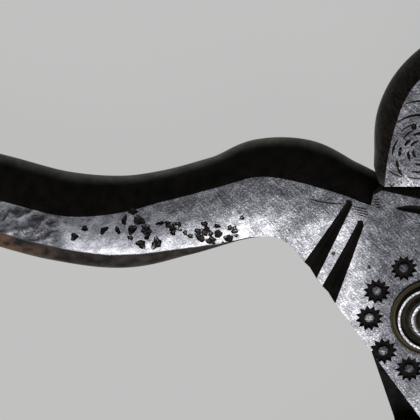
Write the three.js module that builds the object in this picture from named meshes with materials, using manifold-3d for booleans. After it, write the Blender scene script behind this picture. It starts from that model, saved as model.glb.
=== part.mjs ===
import * as THREE from 'three';
import { mergeVertices } from 'three/addons/utils/BufferGeometryUtils.js';
import Module from 'manifold-3d';

const wasm = await Module();
wasm.setup();

// Steel sugar nippers: two crossed levers with half-lapped joint plates, shown open against their stop.
// Frame: origin on the pivot axis at the flat lower end of the rivet, +X towards the blades,
// +Z out of the decorated joint face. Millimetres.

// Joint: both laps together are as thick as the handles.
const JOINT_THICKNESS = 7.5;
const LAP_GAP = 0.3;
const LAP_RADIUS = 14.9;
const LAP_CLEARANCE = 0.4;
const JAW_SHOULDER_STEP = 1.65;
const JAW_SHOULDER_ANGLE = 46;
const JAW_ROOT_ANGLE = 46;
const JAW_POCKET_SHARE = 0.7;
const OPEN_ANGLE = 34;
const STOP_GAP = 0.35;
const STOP_CORNER_REACH = 2.65;
const LOWER_STOP_RELIEF = 0.5;
const JAW_CROTCH_ANGLE = 67.5;

// Straight edges of a joint plate: how far the front one is set in from the round, how far the back
// one lies from the pivot, and the angle of each edge's normal.
const FRONT_EDGE_INSET = 0.7;
const FRONT_EDGE_ANGLE = 66.7;
const BACK_EDGE_DISTANCE = 8.35;
const BACK_EDGE_ANGLE = 205.3;

// Shoulder where the handle meets the joint plate.
const SHOULDER_REACH = 19;
const SHOULDER_HEIGHT = 21.2;

// Handle: length and bow are measured from the closed tool's middle line.
const HANDLE_LENGTH = 180;
const HANDLE_BOW = 31;
const HANDLE_WIDTH = 11;
const HANDLE_BULGE = 4.3;
const HANDLE_END_THICKNESS = 6.4;

// The handle's inner corners are crisp at the shoulder and well rounded from there on.
const HANDLE_ROOT_ROUND = 0.3;
const HANDLE_GRIP_ROUND = 2.6;
const ROUND_RUN_START = 20;
const ROUND_RUN_END = 35;

// Jaw and blade.
const JAW_LENGTH = 48.4;
const JAW_BOW = 19.35;
const JAW_WIDTH = 10.2;
const JAW_BULGE = 1.95;
const BLADE_WIDTH = 16.4;
const JAW_INNER_ROUND = 0.8;
const BLADE_EDGE = 0.6;
const BLADE_GAP = 0.4;

// Filed notches across the shoulder.
const NOTCH_DEPTH = 0.9;
const NOTCH_WIDTH = 2.6;
const NOTCH_END_WIDTH = 0.85;
const NOTCH_END_DEPTH = 0.35;

// Pivot rivet and the turned rings under its heads.
const RIVET_RADIUS = 2.1;
const RIVET_HEAD_RADIUS = 3.1;
const RIVET_FLAT_RADIUS = 2.4;
const RIVET_DISH_RADIUS = 1.8;
const RIVET_DISH_DEPTH = 0.3;
const RIVET_CLEARANCE = 0.3;
const BOSS_HEIGHT = 0.95;
const ROSETTE_RADIUS = 5;
const ROSETTE_RIDGE = 0.85;
const ROSETTE_SEAT = 0.4;
const ROSETTE_GAP = 0.05;

// Leaf spring and its screw.
const SPRING_THICKNESS = 1.1;
const SPRING_WIDTH = 5.6;
const SPRING_FOOT_START = 23;
const SPRING_FOOT_END = 36;
const SPRING_BEARING_SHARE = 0.72;
const SPRING_SEAT_GAP = 0.3;
const SCREW_RADIUS = 1.4;
const SCREW_HEAD_RADIUS = 2.3;
const SCREW_HEAD_HEIGHT = 1.1;
const SCREW_LENGTH = 6.5;
const SCREW_CLEARANCE = 0.3;

// Catch loop at the handle's end.
const CATCH_PIN_FROM_END = 6;
const CATCH_PIN_RADIUS = 1.2;
const CATCH_PIN_HEAD_RADIUS = 2.1;
const CATCH_PIN_HEAD = 0.7;
const CATCH_CLEARANCE = 0.3;
const CATCH_ARM_THICKNESS = 1.3;
const CATCH_EYE_RADIUS = 2.9;
const CATCH_BAR_RADIUS = 1.1;
const CATCH_BAR_GAP = 0.5;

const CUT_OVERRUN = 20;
const RING_STEPS = 48;
const HANDLE_STEPS = 44;
const JAW_STEPS = 24;

const halfThickness = JOINT_THICKNESS / 2;
const midHeight = halfThickness + BOSS_HEIGHT;
const frontEdgeDistance = LAP_RADIUS - FRONT_EDGE_INSET;
const stopRadius = LAP_RADIUS + STOP_CORNER_REACH;
const jawShoulderDistance = LAP_RADIUS + JAW_SHOULDER_STEP;
const turn = THREE.MathUtils.degToRad;

function polar(radius, degrees) {
  return new THREE.Vector2(radius * Math.cos(turn(degrees)), radius * Math.sin(turn(degrees)));
}

// Turn a closed geometry into a solid that can be cut and joined, and back.
function toSolid(geometry) {
  const bare = geometry.clone();
  bare.deleteAttribute('normal');
  bare.deleteAttribute('uv');
  const merged = mergeVertices(bare);
  return new wasm.Manifold(new wasm.Mesh({
    numProp: 3,
    vertProperties: new Float32Array(merged.attributes.position.array),
    triVerts: new Uint32Array(merged.index.array),
  }));
}

function toGeometry(solid) {
  const mesh = solid.getMesh();
  const geometry = new THREE.BufferGeometry();
  geometry.setAttribute('position', new THREE.BufferAttribute(new Float32Array(mesh.vertProperties), 3));
  geometry.setIndex(new THREE.BufferAttribute(new Uint32Array(mesh.triVerts), 1));
  geometry.computeVertexNormals();
  return geometry;
}

// A closed body through rings of points that all hold the same number of points.
function loft(rings) {
  const count = rings[0].length;
  const points = rings.flat();
  const index = [];
  for (let r = 0; r < rings.length - 1; r++) {
    for (let i = 0; i < count; i++) {
      const a = r * count + i;
      const b = r * count + (i + 1) % count;
      index.push(a, b + count, b, a, a + count, b + count);
    }
  }
  for (const [ring, flip] of [[0, false], [rings.length - 1, true]]) {
    const middle = points.length;
    points.push(rings[ring].reduce((sum, p) => sum.add(p), new THREE.Vector3()).divideScalar(count));
    for (let i = 0; i < count; i++) {
      const a = ring * count + i;
      const b = ring * count + (i + 1) % count;
      index.push(...(flip ? [b, a, middle] : [a, b, middle]));
    }
  }
  const geometry = new THREE.BufferGeometry().setFromPoints(points);
  geometry.setIndex(index);
  return geometry;
}

// A plate with a flat outline, between two heights.
function plate(shape, low, high, curveSegments = RING_STEPS) {
  const geometry = new THREE.ExtrudeGeometry(shape, { depth: high - low, bevelEnabled: false, curveSegments });
  geometry.translate(0, 0, low);
  return geometry;
}

// A box that lies beyond a straight edge: from the edge outwards, and along it from start to end.
function beyondEdge(distance, degrees, start, end, depth, low, high) {
  const shape = new THREE.Shape([
    new THREE.Vector2(distance, start),
    new THREE.Vector2(distance + depth, start),
    new THREE.Vector2(distance + depth, end),
    new THREE.Vector2(distance, end),
  ]);
  return plate(shape, low, high).rotateZ(turn(degrees));
}

function rod(radius, low, high) {
  const geometry = new THREE.CylinderGeometry(radius, radius, high - low, RING_STEPS);
  return geometry.rotateX(Math.PI / 2).translate(0, 0, (low + high) / 2);
}

// Rounded outer side that meets the flat faces at an edge, and rounded inner corners, as points
// (outwards, up).
function dSection(halfWidth, half, bulge, round) {
  const points = [];
  const outerSteps = 10;
  const cornerSteps = 3;
  for (let i = 0; i <= outerSteps; i++) {
    const share = 2 * i / outerSteps - 1;
    points.push([halfWidth - bulge * share ** 2, half * share]);
  }
  for (const quarter of [1, 2]) {
    const up = quarter === 1 ? half - round : round - half;
    for (let i = 0; i <= cornerSteps; i++) {
      const angle = (Math.PI / 2) * (quarter + i / cornerSteps);
      points.push([round - halfWidth + round * Math.cos(angle), up + round * Math.sin(angle)]);
    }
  }
  return points;
}

// The middle line of an arm and its sizes along it, from stations of
// [x, y, half width, bulge, half thickness].
function armCurves(stations) {
  const line = stations.map(([x, y]) => new THREE.Vector3(x, y, 0));
  const sizes = stations.map(([, , width, bulge, half]) => new THREE.Vector3(width, bulge, half));
  return { middle: new THREE.CatmullRomCurve3(line), sizes: new THREE.CatmullRomCurve3(sizes) };
}

// Point, outward normal and sizes at one place of an arm. The outer side is on the right of its run
// for a handle that runs to -X on the +Y side, and for a jaw that runs to +X on the -Y side.
function armAt(arm, t) {
  const point = arm.middle.getPoint(t);
  const tangent = arm.middle.getTangent(t);
  const sizes = arm.sizes.getPoint(t);
  return {
    point,
    tangent,
    outward: new THREE.Vector3(tangent.y, -tangent.x, 0),
    halfWidth: sizes.x,
    bulge: sizes.y,
    half: sizes.z,
  };
}

function armRing(place, round, scale) {
  return dSection(place.halfWidth, place.half, place.bulge, round).map(([out, up]) => (
    place.point.clone()
      .addScaledVector(place.outward, out * scale)
      .setZ(up * scale)
  ));
}

function handleGeometry() {
  const rings = [];
  for (let i = 0; i <= HANDLE_STEPS; i++) {
    const place = armAt(handle, i / HANDLE_STEPS);
    const grown = THREE.MathUtils.smoothstep(-place.point.x, ROUND_RUN_START, ROUND_RUN_END);
    rings.push(armRing(place, THREE.MathUtils.lerp(HANDLE_ROOT_ROUND, HANDLE_GRIP_ROUND, grown), 1));
  }
  const end = armAt(handle, 1);
  for (const degrees of [25, 50, 70, 84]) {
    const ahead = end.point.clone().addScaledVector(end.tangent, end.halfWidth * Math.sin(turn(degrees)));
    rings.push(armRing({ ...end, point: ahead }, HANDLE_GRIP_ROUND, Math.cos(turn(degrees))));
  }
  return loft(rings);
}

// The jaw's inner corners are as round as its thin end allows.
function jawGeometry() {
  const rings = [];
  for (let i = 0; i <= JAW_STEPS; i++) {
    const place = armAt(jaw, i / JAW_STEPS);
    rings.push(armRing(place, Math.min(JAW_INNER_ROUND, place.halfWidth), 1));
  }
  return loft(rings);
}

// Handle stations: near the shoulder as shares of the shoulder's reach and height, and from the waist
// on as shares of the handle's length and bow; then shares of its width and bulge.
const shoulderShares = [
  [0.27, 0.62, 0.42, 0.67],
  [0.44, 0.74, 0.42, 0.73],
  [0.66, 0.86, 0.48, 0.96],
  [0.9, 0.89, 0.5, 0.77],
  [1.16, 0.86, 0.44, 0.56],
  [1.47, 0.82, 0.46, 0.55],
  [1.79, 0.81, 0.5, 0.73],
];
const bowShares = [
  [0.23, 0.62, 0.49, 0.98],
  [0.27, 0.73, 0.49, 1],
  [0.32, 0.86, 0.49, 1],
  [0.39, 0.96, 0.46, 0.98],
  [0.47, 1, 0.44, 0.95],
  [0.56, 0.98, 0.41, 0.93],
  [0.67, 0.87, 0.38, 0.91],
  [0.78, 0.66, 0.36, 0.88],
  [0.88, 0.42, 0.36, 0.86],
  [0.94, 0.3, 0.35, 0.84],
  [1, 0.21, 0.34, 0.83],
];

function handleArm() {
  const endHalf = HANDLE_END_THICKNESS / 2;
  const near = shoulderShares.map(([x, y, width, bulge]) => [
    -SHOULDER_REACH * x, SHOULDER_HEIGHT * y, HANDLE_WIDTH * width, HANDLE_BULGE * bulge, halfThickness,
  ]);
  const far = bowShares.map(([x, y, width, bulge], i) => [
    -HANDLE_LENGTH * x, HANDLE_BOW * y, HANDLE_WIDTH * width, HANDLE_BULGE * bulge,
    THREE.MathUtils.lerp(halfThickness, endHalf, i / (bowShares.length - 1)),
  ]);
  return armCurves([...near, ...far]);
}

// Jaw stations as shares of the jaw's length, bow, width and bulge, and the share of the blade's flare.
const jawShares = [
  [0.14, 0.52, 0.37, 0.55, 0],
  [0.18, 0.65, 0.43, 0.49, 0],
  [0.24, 0.8, 0.45, 0.65, 0],
  [0.31, 0.94, 0.49, 1, 0],
  [0.39, 1, 0.5, 0.84, 0],
  [0.55, 0.96, 0.47, 0.82, 0.04],
  [0.7, 0.81, 0.4, 0.71, 0.24],
  [0.82, 0.59, 0.31, 0.57, 0.55],
  [0.91, 0.36, 0.21, 0.42, 0.82],
  [0.97, 0.15, 0.12, 0.25, 0.96],
];

function jawArm() {
  const bladeHalf = BLADE_WIDTH / 2;
  const stations = jawShares.map(([x, y, width, bulge, flare]) => [
    JAW_LENGTH * x, -JAW_BOW * y, JAW_WIDTH * width, JAW_BULGE * bulge,
    THREE.MathUtils.lerp(halfThickness, bladeHalf, flare),
  ]);
  const edge = BLADE_EDGE / 2;
  stations.push([JAW_LENGTH, -edge - BLADE_GAP / 2, edge, edge / 2, bladeHalf]);
  return armCurves(stations);
}

const handle = handleArm();
const jaw = jawArm();

// Where the back edge of a joint plate crosses a circle about the pivot, on the handle's side.
function backEdgeAt(radius) {
  const foot = polar(BACK_EDGE_DISTANCE, BACK_EDGE_ANGLE);
  const run = Math.sqrt(radius ** 2 - BACK_EDGE_DISTANCE ** 2);
  return foot.add(polar(run, BACK_EDGE_ANGLE - 90));
}

// Joint plate and the flat web between it and the handle. The web's front corner meets the other
// lever's jaw, which is what stops the tool when it opens.
const stopCornerAngle = JAW_CROTCH_ANGLE + OPEN_ANGLE + THREE.MathUtils.radToDeg(STOP_GAP / stopRadius);

function jointShape() {
  const at = (x, y) => new THREE.Vector2(-SHOULDER_REACH * x, SHOULDER_HEIGHT * y);
  const cornerShare = 1.15;
  const backCorner = backEdgeAt(LAP_RADIUS * cornerShare);
  const backEnd = turn(BACK_EDGE_ANGLE) + Math.acos(BACK_EDGE_DISTANCE / LAP_RADIUS);
  const filletCentre = at(0.82, 0.64);
  const shape = new THREE.Shape();
  shape.absarc(0, 0, LAP_RADIUS, backEnd - 2 * Math.PI, turn(FRONT_EDGE_ANGLE), false);
  const edgeShares = [
    [0.14, 0.81], [0.23, 0.78], [0.26, 0.72], [0.43, 0.81], [0.66, 0.9], [0.9, 0.97], [1, 0.96],
    [1, 0.65], [0.94, 0.64],
  ];
  for (const [x, y] of edgeShares) {
    shape.lineTo(...at(x, y));
  }
  shape.quadraticCurveTo(filletCentre.x, filletCentre.y, backCorner.x, backCorner.y);
  shape.closePath();
  return shape;
}

// What lies beyond the front edge, up to the radial face that stops the tool, as a cutter.
function frontCutter() {
  const far = frontEdgeDistance + CUT_OVERRUN;
  const halfChord = Math.sqrt(LAP_RADIUS ** 2 - frontEdgeDistance ** 2);
  const stopSlope = Math.tan(turn(stopCornerAngle - FRONT_EDGE_ANGLE));
  const shape = new THREE.Shape([
    new THREE.Vector2(frontEdgeDistance, -halfChord),
    new THREE.Vector2(far, -halfChord),
    new THREE.Vector2(far, far * stopSlope),
    new THREE.Vector2(frontEdgeDistance, frontEdgeDistance * stopSlope),
  ]);
  return plate(shape, -CUT_OVERRUN, CUT_OVERRUN).rotateZ(turn(FRONT_EDGE_ANGLE));
}

// A sector outside the joint plate, from a radial line to another, up to a height.
function sectorCutter(fromDegrees, toDegrees, high) {
  const from = turn(fromDegrees);
  const to = turn(toDegrees);
  const shape = new THREE.Shape();
  shape.absarc(0, 0, LAP_RADIUS, from, to, false);
  shape.absarc(0, 0, stopRadius + CUT_OVERRUN, to, from, true);
  shape.closePath();
  return plate(shape, -CUT_OVERRUN, high);
}

// A tapered V filed into the outer face, from the back edge towards the front, as a cutter.
function notchCutter(from, to) {
  const top = halfThickness + LAP_GAP;
  const rings = [];
  for (const [end, width, depth] of [[from, NOTCH_WIDTH, NOTCH_DEPTH], [to, NOTCH_END_WIDTH, NOTCH_END_DEPTH]]) {
    const side = new THREE.Vector2().subVectors(to, from).rotateAround(new THREE.Vector2(), Math.PI / 2);
    side.setLength(width / 2 * (top - halfThickness + depth) / depth);
    rings.push([
      new THREE.Vector3(end.x - side.x, end.y - side.y, top),
      new THREE.Vector3(end.x, end.y, halfThickness - depth),
      new THREE.Vector3(end.x + side.x, end.y + side.y, top),
    ]);
  }
  return loft(rings);
}

// Ends of the two notches as shares of the shoulder's reach and height.
const notchShares = [
  [[0.76, 0.33], [0.39, 0.75]],
  [[0.66, 0.17], [0.34, 0.62]],
];

// One lever in the closed tool's frame, with its lap above the middle plane: handle at -X +Y.
function leverSolid() {
  const low = -halfThickness;
  const pocketTop = LAP_GAP / 2;
  const pocketLow = low - CUT_OVERRUN;
  const stopRelief = stopCornerAngle + LOWER_STOP_RELIEF;
  const beforeStop = toSolid(sectorCutter(FRONT_EDGE_ANGLE, stopRelief, pocketTop));
  const behindCrotch = toSolid(sectorCutter(-stopCornerAngle, -JAW_CROTCH_ANGLE, CUT_OVERRUN));
  let solid = toSolid(plate(jointShape(), low, halfThickness, RING_STEPS / 2))
    .add(toSolid(handleGeometry()))
    .subtract(toSolid(frontCutter()))
    .subtract(beforeStop)
    .add(toSolid(jawGeometry()).subtract(behindCrotch));
  const jawPocket = beyondEdge(
    0, -JAW_SHOULDER_ANGLE, -LAP_RADIUS, LAP_RADIUS * JAW_POCKET_SHARE, jawShoulderDistance, pocketLow, pocketTop,
  );
  solid = solid.subtract(toSolid(rod(LAP_RADIUS + LAP_CLEARANCE, pocketLow, pocketTop)))
    .subtract(toSolid(jawPocket))
    .subtract(toSolid(rod(RIVET_RADIUS + RIVET_CLEARANCE, pocketLow, CUT_OVERRUN)));
  for (const ends of notchShares) {
    const [from, to] = ends.map(([x, y]) => new THREE.Vector2(-SHOULDER_REACH * x, SHOULDER_HEIGHT * y));
    solid = solid.subtract(toSolid(notchCutter(from, to)));
  }
  return solid;
}

// A round body turned about +Z from [radius, height] points that close on themselves or on the axis.
function turned(points) {
  const profile = points.map(([radius, height]) => new THREE.Vector2(radius, height));
  return new THREE.LatheGeometry(profile, RING_STEPS).rotateX(Math.PI / 2);
}

// Rivet: flat lower end, dished upper end, a sloped flank round both.
function rivetGeometry() {
  const height = 2 * midHeight;
  const head = BOSS_HEIGHT - ROSETTE_SEAT - ROSETTE_GAP;
  return turned([
    [0, 0],
    [RIVET_FLAT_RADIUS, 0],
    [RIVET_HEAD_RADIUS, head],
    [RIVET_RADIUS, head],
    [RIVET_RADIUS, height - head],
    [RIVET_HEAD_RADIUS, height - head],
    [RIVET_FLAT_RADIUS, height],
    [RIVET_DISH_RADIUS, height],
    [RIVET_DISH_RADIUS - RIVET_DISH_DEPTH, height - RIVET_DISH_DEPTH],
    [0, height - RIVET_DISH_DEPTH],
  ]);
}

// Turned ring, as shares of its radius and of its ridge's height above the lever's face.
const rosetteShares = [[1, 0.3], [0.97, 0.38], [0.93, 0.38], [0.89, 0.25], [0.85, 0.25], [0.82, 1], [0.73, 1]];

function rosetteGeometry() {
  const bore = RIVET_RADIUS + RIVET_CLEARANCE;
  const seat = RIVET_HEAD_RADIUS + RIVET_CLEARANCE;
  return turned([
    [bore, ROSETTE_GAP],
    [ROSETTE_RADIUS, ROSETTE_GAP],
    ...rosetteShares.map(([radius, height]) => [ROSETTE_RADIUS * radius, ROSETTE_RIDGE * height]),
    [seat, ROSETTE_SEAT],
    [bore, ROSETTE_SEAT],
    [bore, ROSETTE_GAP],
  ]);
}

// The handle's inner side at a place of its run, in the closed tool's frame.
function handleInside(t) {
  const place = armAt(handle, t);
  return { ...place, inside: place.point.clone().addScaledVector(place.outward, -place.halfWidth) };
}

// Middle line of the leaf in the under lever's closed frame: its handle lies at -X -Y there.
// The leaf runs along the handle for the length of its foot, crosses, and ends against the other handle.
const springShares = [[0.3, 0.043], [0.55, 0.18], [0.71, 0.385], [0.82, 0.61], [0.9, 0.815]];

function springLine() {
  const samples = Array.from({ length: 200 }, (unused, i) => handleInside(i / 199).inside);
  const overFoot = samples.filter((p) => -p.x > SPRING_FOOT_START && -p.x < SPRING_FOOT_END);
  const seat = Math.min(...overFoot.map((p) => p.y)) - SPRING_SEAT_GAP - SPRING_THICKNESS / 2;
  const bearing = handleInside(SPRING_BEARING_SHARE);
  const tip = bearing.inside.clone()
    .addScaledVector(bearing.outward, -SPRING_SEAT_GAP - SPRING_THICKNESS / 2)
    .applyAxisAngle(new THREE.Vector3(0, 0, 1), -turn(OPEN_ANGLE));
  const root = new THREE.Vector3(-SPRING_FOOT_END, -seat, 0);
  const run = new THREE.Vector3().subVectors(tip, root);
  const bow = springShares.map(([x, y]) => new THREE.Vector3(root.x + run.x * x, root.y + run.y * y, 0));
  return {
    seat: -seat,
    curve: new THREE.CatmullRomCurve3([
      new THREE.Vector3(-SPRING_FOOT_START, -seat, 0),
      new THREE.Vector3(-(SPRING_FOOT_START + SPRING_FOOT_END) / 2, -seat, 0),
      root, ...bow, tip,
    ]),
  };
}

const spring = springLine();
const screwAt = -(SPRING_FOOT_START + SPRING_FOOT_END) / 2;

function springSolid() {
  const steps = 60;
  const sides = [[], []];
  for (let i = 0; i <= steps; i++) {
    const point = spring.curve.getPoint(i / steps);
    const tangent = spring.curve.getTangent(i / steps);
    for (const side of [0, 1]) {
      const out = (side - 0.5) * SPRING_THICKNESS;
      sides[side].push(new THREE.Vector2(point.x - tangent.y * out, point.y + tangent.x * out));
    }
  }
  const outline = new THREE.Shape([...sides[0], ...sides[1].reverse()]);
  const leaf = toSolid(plate(outline, -SPRING_WIDTH / 2, SPRING_WIDTH / 2));
  const hole = rod(SCREW_RADIUS + SCREW_CLEARANCE, -CUT_OVERRUN, CUT_OVERRUN).rotateX(Math.PI / 2);
  return leaf.subtract(toSolid(hole.translate(screwAt, spring.seat, 0)));
}

// Screw with a domed head, its shank along -Y from the head's seat at zero.
function screwGeometry() {
  const domeSteps = 5;
  const dome = [];
  for (let i = 0; i <= domeSteps; i++) {
    const angle = (Math.PI / 2) * (i / domeSteps);
    dome.push(new THREE.Vector2(SCREW_HEAD_RADIUS * Math.cos(angle), SCREW_HEAD_HEIGHT * Math.sin(angle)));
  }
  dome[domeSteps].x = 0;
  return new THREE.LatheGeometry([
    new THREE.Vector2(0, -SCREW_LENGTH),
    new THREE.Vector2(SCREW_RADIUS, -SCREW_LENGTH),
    new THREE.Vector2(SCREW_RADIUS, 0),
    ...dome,
  ], RING_STEPS / 2);
}

// Place of the catch's pin on the handle, and the reach from it to the bar that hooks the other handle.
function catchPlace() {
  const share = 1 - CATCH_PIN_FROM_END / handle.middle.getLength();
  const place = armAt(handle, handle.middle.getUtoTmapping(share));
  const outerSide = place.point.y + place.halfWidth / Math.abs(place.outward.y);
  return { ...place, reach: place.point.y + outerSide + CATCH_BAR_RADIUS + CATCH_BAR_GAP };
}

const catchPin = catchPlace();
const armLow = catchPin.half + CATCH_CLEARANCE;
const armHigh = armLow + CATCH_ARM_THICKNESS;

// Outline of a flat link between a round eye at zero and a smaller round end at -X.
function linkShape(eye, end, reach) {
  const lean = Math.acos((eye - end) / reach);
  const shape = new THREE.Shape();
  shape.absarc(0, 0, eye, lean - Math.PI, Math.PI - lean, false);
  shape.absarc(-reach, 0, end, Math.PI - lean, Math.PI + lean, false);
  shape.closePath();
  const hole = new THREE.Path();
  hole.absarc(0, 0, CATCH_PIN_RADIUS + CATCH_CLEARANCE, 0, 2 * Math.PI, true);
  shape.holes.push(hole);
  return shape;
}

function catchLoopSolid() {
  const outline = linkShape(CATCH_EYE_RADIUS, CATCH_BAR_RADIUS, catchPin.reach);
  const steps = RING_STEPS / 4;
  return toSolid(plate(outline, armLow, armHigh, steps))
    .add(toSolid(plate(outline, -armHigh, -armLow, steps)))
    .add(toSolid(rod(CATCH_BAR_RADIUS, -armHigh, armHigh).translate(-catchPin.reach, 0, 0)));
}

function catchPinGeometry() {
  const head = armHigh + CATCH_CLEARANCE;
  return turned([
    [0, -head - CATCH_PIN_HEAD],
    [CATCH_PIN_RADIUS, -head - CATCH_PIN_HEAD],
    [CATCH_PIN_HEAD_RADIUS, -head],
    [CATCH_PIN_RADIUS, -head],
    [CATCH_PIN_RADIUS, head],
    [CATCH_PIN_HEAD_RADIUS, head],
    [CATCH_PIN_RADIUS, head + CATCH_PIN_HEAD],
    [0, head + CATCH_PIN_HEAD],
  ]);
}

const brightSteel = { color: 0x85868b, roughness: 0.42, metalness: 0.9 };
const darkSteel = { color: 0x3a3632, roughness: 0.5, metalness: 0.85 };

function named(name, geometry, look) {
  const mesh = new THREE.Mesh(geometry, new THREE.MeshStandardMaterial(look));
  mesh.name = name;
  return mesh;
}

function placed(object, x, y, z) {
  object.position.set(x, y, z);
  return object;
}

function overLever() {
  const group = new THREE.Group();
  const pinHole = rod(CATCH_PIN_RADIUS + CATCH_CLEARANCE, -CUT_OVERRUN, CUT_OVERRUN);
  const { x, y } = catchPin.point;
  const solid = leverSolid().subtract(toSolid(pinHole.translate(x, y, 0)));
  group.add(named('lever_over', toGeometry(solid), brightSteel));
  group.add(placed(named('catch_loop', toGeometry(catchLoopSolid()), darkSteel), x, y, 0));
  group.add(placed(named('catch_pin', catchPinGeometry(), brightSteel), x, y, 0));
  group.rotation.z = -turn(OPEN_ANGLE / 2);
  return placed(group, 0, 0, midHeight);
}

// The under lever is the over lever's twin, turned over about the tool's middle line.
function underLever() {
  const group = new THREE.Group();
  const hole = rod(SCREW_RADIUS + SCREW_CLEARANCE, 0, SCREW_LENGTH + SCREW_CLEARANCE).rotateX(-Math.PI / 2);
  const screwSeat = spring.seat + SPRING_THICKNESS / 2 + ROSETTE_GAP;
  const solid = leverSolid().subtract(toSolid(hole.translate(screwAt, -screwSeat, 0)));
  const lever = named('lever_under', toGeometry(solid), brightSteel);
  lever.rotation.x = Math.PI;
  group.add(lever);
  group.add(named('leaf_spring', toGeometry(springSolid()), darkSteel));
  group.add(placed(named('spring_screw', screwGeometry(), brightSteel), screwAt, screwSeat, 0));
  group.rotation.z = turn(OPEN_ANGLE / 2);
  return placed(group, 0, 0, midHeight);
}

const nippers = new THREE.Group();
nippers.add(overLever());
nippers.add(underLever());
nippers.add(named('pivot_rivet', rivetGeometry(), brightSteel));
nippers.add(placed(named('rosette_over', rosetteGeometry(), brightSteel), 0, 0, midHeight + halfThickness));
const rosetteUnder = placed(named('rosette_under', rosetteGeometry(), brightSteel), 0, 0, midHeight - halfThickness);
rosetteUnder.rotation.x = Math.PI;
nippers.add(rosetteUnder);

export default nippers;
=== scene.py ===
import bmesh
import bpy
import math
import random
from mathutils import Matrix, Vector


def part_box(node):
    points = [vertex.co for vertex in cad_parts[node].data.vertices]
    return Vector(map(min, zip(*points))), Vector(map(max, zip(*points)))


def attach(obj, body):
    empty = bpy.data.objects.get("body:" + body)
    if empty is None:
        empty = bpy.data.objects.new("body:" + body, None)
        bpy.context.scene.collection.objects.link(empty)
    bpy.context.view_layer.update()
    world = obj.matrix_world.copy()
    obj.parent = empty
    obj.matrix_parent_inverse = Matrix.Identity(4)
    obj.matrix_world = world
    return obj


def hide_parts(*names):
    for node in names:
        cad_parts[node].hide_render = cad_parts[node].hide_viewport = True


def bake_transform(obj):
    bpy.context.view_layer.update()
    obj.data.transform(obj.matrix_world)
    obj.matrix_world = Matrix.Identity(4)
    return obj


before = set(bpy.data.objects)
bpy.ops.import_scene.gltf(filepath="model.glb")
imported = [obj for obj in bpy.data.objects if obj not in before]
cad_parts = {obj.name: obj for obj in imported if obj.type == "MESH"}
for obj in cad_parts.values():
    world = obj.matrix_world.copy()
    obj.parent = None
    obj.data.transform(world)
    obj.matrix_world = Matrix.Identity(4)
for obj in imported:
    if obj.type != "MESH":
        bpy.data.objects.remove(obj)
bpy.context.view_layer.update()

# The two levers. Each is one forging of carbon steel: a bowed handle with a rounded outer side, a flat joint
# plate lapped to half its thickness, and a claw jaw that spreads into a wide blade. They are twins, one
# turned over, filed bright on the flat faces, left black on the sides, and cut with punches and a graver.
half = 3.75
mid_height = 4.7
lap_gap = 0.3
lap_radius = 14.9
lap_clearance = 0.4
open_angle = 34
shoulder_reach = 19
shoulder_height = 21.2
handle_length = 180
handle_bow = 31
handle_width = 10.97
handle_bulge = 4.3
jaw_length = 48.4
jaw_bow = 19.35
jaw_width = 10.2
jaw_bulge = 1.95
blade_width = 16.4
back_edge_distance = 8.35
back_edge_angle = 205.3
front_edge_distance = 14.2
front_edge_angle = 66.7
stop_radius = 17.55
jaw_crotch_angle = 67.5
jaw_shoulder_angle = 46
jaw_shoulder_distance = 16.55
jaw_pocket_share = 0.7
rivet_hole = 2.4
stop_gap = 0.08
stop_relief = 0.5
stop_corner_angle = jaw_crotch_angle + open_angle + math.degrees(stop_gap / stop_radius)
overrun = 20
pocket_low = -24


def polar(radius, degrees):
    return radius * math.cos(math.radians(degrees)), radius * math.sin(math.radians(degrees))


def smooth_line(points):
    ahead = [2 * a - b for a, b in zip(points[0], points[1])]
    behind = [2 * a - b for a, b in zip(points[-1], points[-2])]
    knots = [ahead, *points, behind]

    def at(t):
        run = t * (len(points) - 1)
        i = min(int(run), len(points) - 2)
        w = run - i
        four = knots[i:i + 4]
        d = [sum((a - b) ** 2 for a, b in zip(four[k], four[k + 1])) ** 0.25 for k in range(3)]
        place = []
        for a, b, c, e in zip(*four):
            s = ((b - a) / d[0] - (c - a) / (d[0] + d[1]) + (c - b) / d[1]) * d[1]
            r = ((c - b) / d[1] - (e - b) / (d[1] + d[2]) + (e - c) / d[2]) * d[1]
            place.append(b + s * w + (3 * (c - b) - 2 * s - r) * w * w + (2 * (b - c) + s + r) * w ** 3)
        return place

    return at


def solid(name, points, faces):
    mesh = bpy.data.meshes.new(name)
    mesh.from_pydata([tuple(p) for p in points], [], faces)
    shape = bmesh.new()
    shape.from_mesh(mesh)
    bmesh.ops.recalc_face_normals(shape, faces=shape.faces)
    shape.to_mesh(mesh)
    shape.free()
    obj = bpy.data.objects.new(name, mesh)
    bpy.context.scene.collection.objects.link(obj)
    return obj


def loft(name, rings):
    count = len(rings[0])
    points = [p for ring in rings for p in ring]
    faces = [list(range(count)), list(range(len(points) - count, len(points)))]
    for r in range(len(rings) - 1):
        for i in range(count):
            a, b = r * count + i, r * count + (i + 1) % count
            faces.append([a, b, b + count, a + count])
    return solid(name, points, faces)


def plate(name, outline, low, high):
    return loft(name, [[(x, y, low) for x, y in outline], [(x, y, high) for x, y in outline]])


def disc(name, radius, low, high, steps=160):
    return plate(name, [polar(radius, 360 * i / steps) for i in range(steps)], low, high)


def beyond_edge(distance, degrees, start, end, depth, low, high):
    corners = [(distance, start), (distance + depth, start), (distance + depth, end), (distance, end)]
    block = plate("edge_tool", corners, low, high)
    block.data.transform(Matrix.Rotation(math.radians(degrees), 4, "Z"))
    return block


def work_on(piece, tool, operation="DIFFERENCE"):
    step = piece.modifiers.new("cut", "BOOLEAN")
    step.solver = "MANIFOLD"
    step.operation = operation
    step.object = tool
    bpy.context.view_layer.update()
    worked = bpy.data.meshes.new_from_object(piece.evaluated_get(bpy.context.evaluated_depsgraph_get()))
    piece.modifiers.clear()
    piece.data = worked
    bpy.data.objects.remove(tool)


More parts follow.
